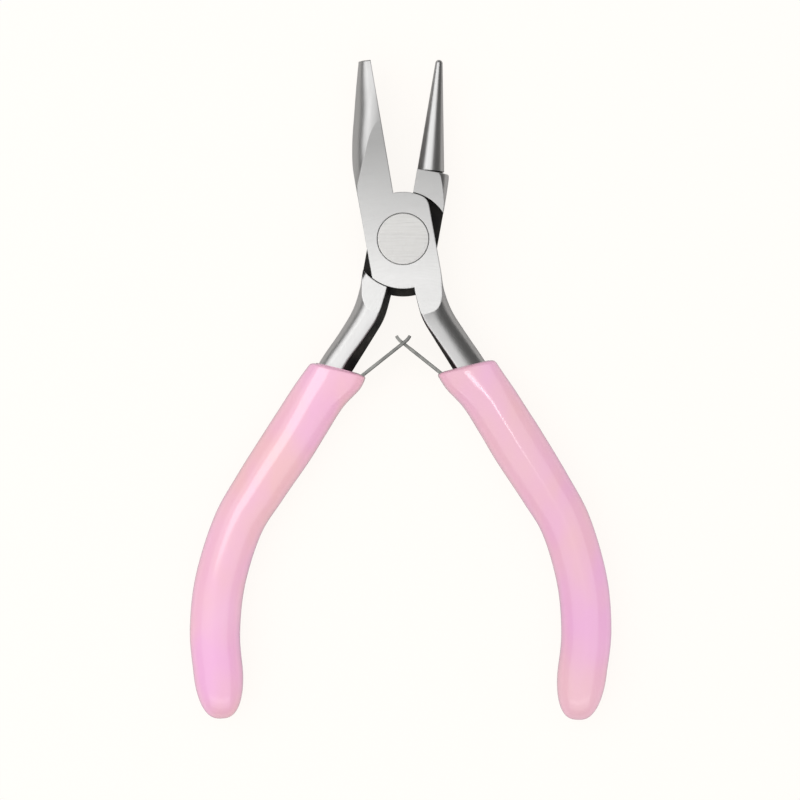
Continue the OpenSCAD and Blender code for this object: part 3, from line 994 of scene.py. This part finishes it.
def grip(name, side, matrix, body, node):
    """Closed shell: from the bottom of the room inside up to the mouth, over the lip and down the
    outside to the rounded end. across is 0 on the inner side and 1 on the outer."""
    rows, skin = handle_rows(side), grip_rows(side)
    first = BACK_CAVITY_STATION if side == BACK_ARM_SIDE else FRONT_CAVITY_STATION
    inside = stations(rows, len(rows) - 1 - CAVITY_END, first, 60)
    cavity = [cavity_ring(r, CAVITY_ROOM) for r in inside]
    lip = [
        grip_ring(spline(skin, LIP_R * (1 - math.cos(a)) / MOUTH_PITCH), LIP_R * (1 - math.sin(a)))
        for a in np.radians(np.linspace(0, 80, 7))
    ]
    mouth = []
    for share, rise in MOUTH_RINGS:
        mouth.append(cavity[-1] + (lip[0] - cavity[-1]) * share)
        mouth[-1][:, 1] += rise
    outside = [grip_ring(r) for r in stations(skin, LIP_R / MOUTH_PITCH, len(skin) - 1, 150)]
    rings = cavity + mouth + lip + outside + grip_end_rings(side)
    shell = loft(name, rings, [PEARL_VINYL])
    across = np.tile(0.5 + 0.5 * np.cos(grip_angles()), len(rings))
    shell.data.attributes.new("across", "FLOAT", "POINT").data.foreach_set("value", across)
    smooth_but_sharp(shell, 60)
    place(shell, matrix)
    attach(shell, body)
    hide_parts(node)
    return shell


# ---------------------------------------------------------------------------------------------
# Studio
# ---------------------------------------------------------------------------------------------

def camera():
    """Straight down on the tool, with a long lens. The view is measured at half its thickness."""
    view_width, height, middle = 0.152, 0.6, (-0.0006, -0.0304)
    data = bpy.data.cameras.new("camera")
    data.sensor_width = 36
    data.lens = data.sensor_width * (height - MID_Z * MM) / view_width
    data.clip_end = 10
    thing = bpy.data.objects.new("camera", data)
    thing.location = (*middle, height)
    bpy.context.scene.collection.objects.link(thing)
    bpy.context.scene.camera = thing


def area_light(name, location, size, radiance, tilt=(0, 0, 0), pieces=(), shares="INCLUDE"):
    """Softbox that faces down unless it is tilted, with its brightness as the camera sees it. With
    INCLUDE it lights only the given pieces, with EXCLUDE all others, and without pieces everything.
    No two softboxes are at the same height, or one would hide the other in a reflection."""
    data = bpy.data.lights.new(name, "AREA")
    data.shape = "RECTANGLE"
    data.size, data.size_y = size
    data.energy = radiance * math.pi * size[0] * size[1]
    thing = bpy.data.objects.new(name, data)
    thing.location = location
    thing.rotation_euler = [math.radians(angle) for angle in tilt]
    bpy.context.scene.collection.objects.link(thing)
    if pieces:
        receivers = bpy.data.collections.new(name + "_receivers")
        for piece in pieces:
            receivers.objects.link(piece)
        for entry in receivers.collection_objects:
            entry.light_linking.link_state = shares
        thing.light_linking.receiver_collection = receivers
    return thing


def studio(right_grip, left_grip):
    """White floor in a bright room. The steel has softboxes over it and to its left. The grips have
    softer light of their own, and share only the front light with the steel."""
    half, below = 2, 0.0002
    corners = [(-half, -half, 0), (half, -half, 0), (half, half, 0), (-half, half, 0)]
    floor = mesh_object("floor", corners, [(0, 1, 2, 3)], [floor_paper()])
    floor.location.z = -below
    surroundings()
    grips = [right_grip, left_grip]
    area_light("overhead", (-0.36, -0.03, 0.9), (1.1, 2.0), 0.84, pieces=grips, shares="EXCLUDE")
    area_light("strip", (-0.25, -0.1, 0.88), (0.5, 1.6), 0.3, pieces=grips, shares="EXCLUDE")
    area_light("wall", (-0.9, -0.03, 0.7), (0.55, 1.6), 1.0, (0, -52, 0), grips, "EXCLUDE")
    area_light("front_key", (0, -0.95, 0.75), (1.6, 0.5), 0.6, (50, 0, 0))
    area_light("grip_overhead", (-0.1, -0.03, 0.91), (1.9, 2.0), 0.62, pieces=grips)
    area_light("left_grip_strip", (-0.31, 0.34, 0.85), (0.38, 0.72), 1.9, pieces=[left_grip])
    area_light("right_grip_strip", (0.024, 0.002, 0.86), (0.05, 0.14), 6.0, (0, 0, 30), [right_grip])
    for name, side, radiance in (("left_fill", -1, 1.7), ("right_fill", 1, 1.5)):
        place = (0.9 * side, -0.03, 0.3)
        fill = area_light(name, place, (0.5, 1.6), radiance, (0, 72 * side, 0), grips)
        fill.visible_glossy = False


def surroundings():
    """Bright room that the steel and the vinyl reflect as dark cards."""
    world = bpy.data.worlds.new("world")
    world.use_nodes = True
    tree = world.node_tree
    room = tree.nodes["Background"]
    room.inputs["Strength"].default_value = 0.8
    cards = tree.nodes.new("ShaderNodeBackground")
    cards.inputs["Strength"].default_value = 0.085
    path = tree.nodes.new("ShaderNodeLightPath")
    mix = tree.nodes.new("ShaderNodeMixShader")
    tree.links.new(path.outputs["Is Glossy Ray"], mix.inputs[0])
    for socket, background in ((1, room), (2, cards)):
        background.inputs["Color"].default_value = (1, 0.995, 0.98, 1)
        tree.links.new(background.outputs[0], mix.inputs[socket])
    tree.links.new(mix.outputs[0], tree.nodes["World Output"].inputs["Surface"])
    scene = bpy.context.scene
    scene.world = world
    scene.view_settings.view_transform = "Standard"


camera()
front_half()
back_half()
pivot_rivet()
leaf_springs()
grip_right = grip("grip_right_vinyl", FRONT_ARM_SIDE, FRONT_PLACE, "front", "grip_right")
grip_left = grip("grip_left_vinyl", BACK_ARM_SIDE, BACK_PLACE, "back", "grip_left")
spring_rivets()
studio(grip_right, grip_left)
